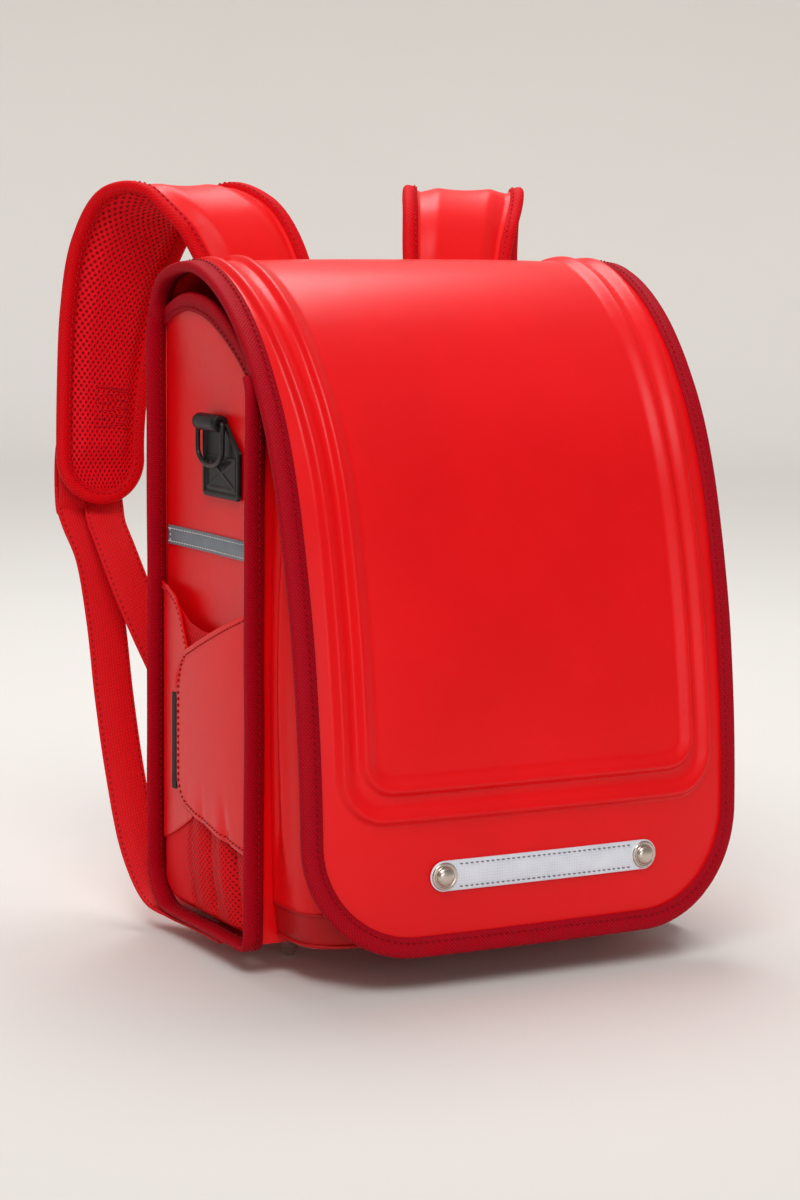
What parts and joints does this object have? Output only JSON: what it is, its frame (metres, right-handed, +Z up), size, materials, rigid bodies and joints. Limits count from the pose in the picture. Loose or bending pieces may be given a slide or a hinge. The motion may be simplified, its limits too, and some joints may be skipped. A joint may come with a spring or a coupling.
{
  "type": "school ransel backpack",
  "caption": "Upright box-shaped school backpack with a long front flap, taped seams, side pockets, side rings and padded shoulder straps.",
  "frame": {"origin": "on the floor, under the middle of the box around the bag and its straps", "axes": "+Z up; the flap and front pocket face -Y, the wearer's back is at +Y, and +X is the right-hand side seen from the front"},
  "size_m": [0.3076, 0.299, 0.415],
  "materials": {
    "body_leather": "smooth coated leather, semi-gloss",
    "strap_leather": "smooth coated leather, satin",
    "pocket_gusset_leather": "smooth coated leather, satin, a darker red",
    "black_tab": "embossed, satin",
    "binding_tape": "ribbed woven tape, matte",
    "strap_binding_tape": "ribbed woven tape, matte",
    "strap_air_mesh": "thick knitted air mesh, matte",
    "pocket_mesh": "open knitted mesh, matte",
    "webbing": "flat woven webbing, matte",
    "side_reflective_tape": "grey reflective tape",
    "flap_reflective_tape": "silver reflective tape",
    "black_elastic": "narrow woven elastic, matte",
    "nickel": "nickel plate, slightly brushed",
    "black_ring_metal": "black nickel, semi-gloss",
    "black_buckle_plastic": "moulded, matte"
  },
  "bodies": {
    "bag": {"back_panel": "body_leather", "bottom_panel": "body_leather", "front_panel": "body_leather", "side_panel_left": "body_leather", "side_panel_right": "body_leather", "seam_flange_left": "binding_tape", "seam_flange_right": "binding_tape", "rim_binding_left": "binding_tape", "rim_binding_right": "binding_tape", "flap": "body_leather", "flap_binding": "binding_tape", "flap_reflective_strip": "flap_reflective_tape", "flap_rivet_left": "nickel", "flap_rivet_right": "nickel", "front_pocket": "body_leather", "front_pocket_gusset": "pocket_gusset_leather", "side_reflective_strip_left": "side_reflective_tape", "side_reflective_strip_right": "side_reflective_tape", "ring_tab_left": "black_tab", "ring_tab_right": "black_tab", "side_pocket_mesh_left": "pocket_mesh", "side_pocket_mesh_right": "pocket_mesh", "side_pocket_back_piece_left": "body_leather", "side_pocket_back_piece_right": "body_leather", "side_pocket_front_piece_left": "body_leather", "side_pocket_front_piece_right": "body_leather", "side_pocket_elastic_left": "black_elastic", "side_pocket_elastic_right": "black_elastic", "foot_front_left": "nickel", "foot_front_right": "nickel", "foot_back_left": "nickel", "foot_back_right": "nickel", "strap_root_cover": "body_leather", "shoulder_strap_leather_left": "strap_leather", "shoulder_strap_leather_right": "strap_leather", "shoulder_strap_mesh_left": "strap_air_mesh", "shoulder_strap_mesh_right": "strap_air_mesh", "shoulder_strap_binding_left": "strap_binding_tape", "shoulder_strap_binding_right": "strap_binding_tape", "strap_buckle_left": "black_buckle_plastic", "strap_buckle_right": "black_buckle_plastic", "strap_webbing_left": "webbing", "strap_webbing_right": "webbing", "webbing_tail_left": "webbing", "webbing_tail_right": "webbing"},
    "ring_left": {"d_ring_left": "black_ring_metal"},
    "ring_right": {"d_ring_right": "black_ring_metal"}
  },
  "joints": [
    {"name": "ring_left_swing", "type": "hinge", "parent": "bag", "child": "ring_left", "pos_m": [-0.12846, -0.01727, 0.2865], "axis": [0, 1, 0], "range_deg": [0, 150]},
    {"name": "ring_right_swing", "type": "hinge", "parent": "bag", "child": "ring_right", "pos_m": [0.12846, -0.01727, 0.2865], "axis": [0, -1, 0], "range_deg": [0, 150]}
  ]
}
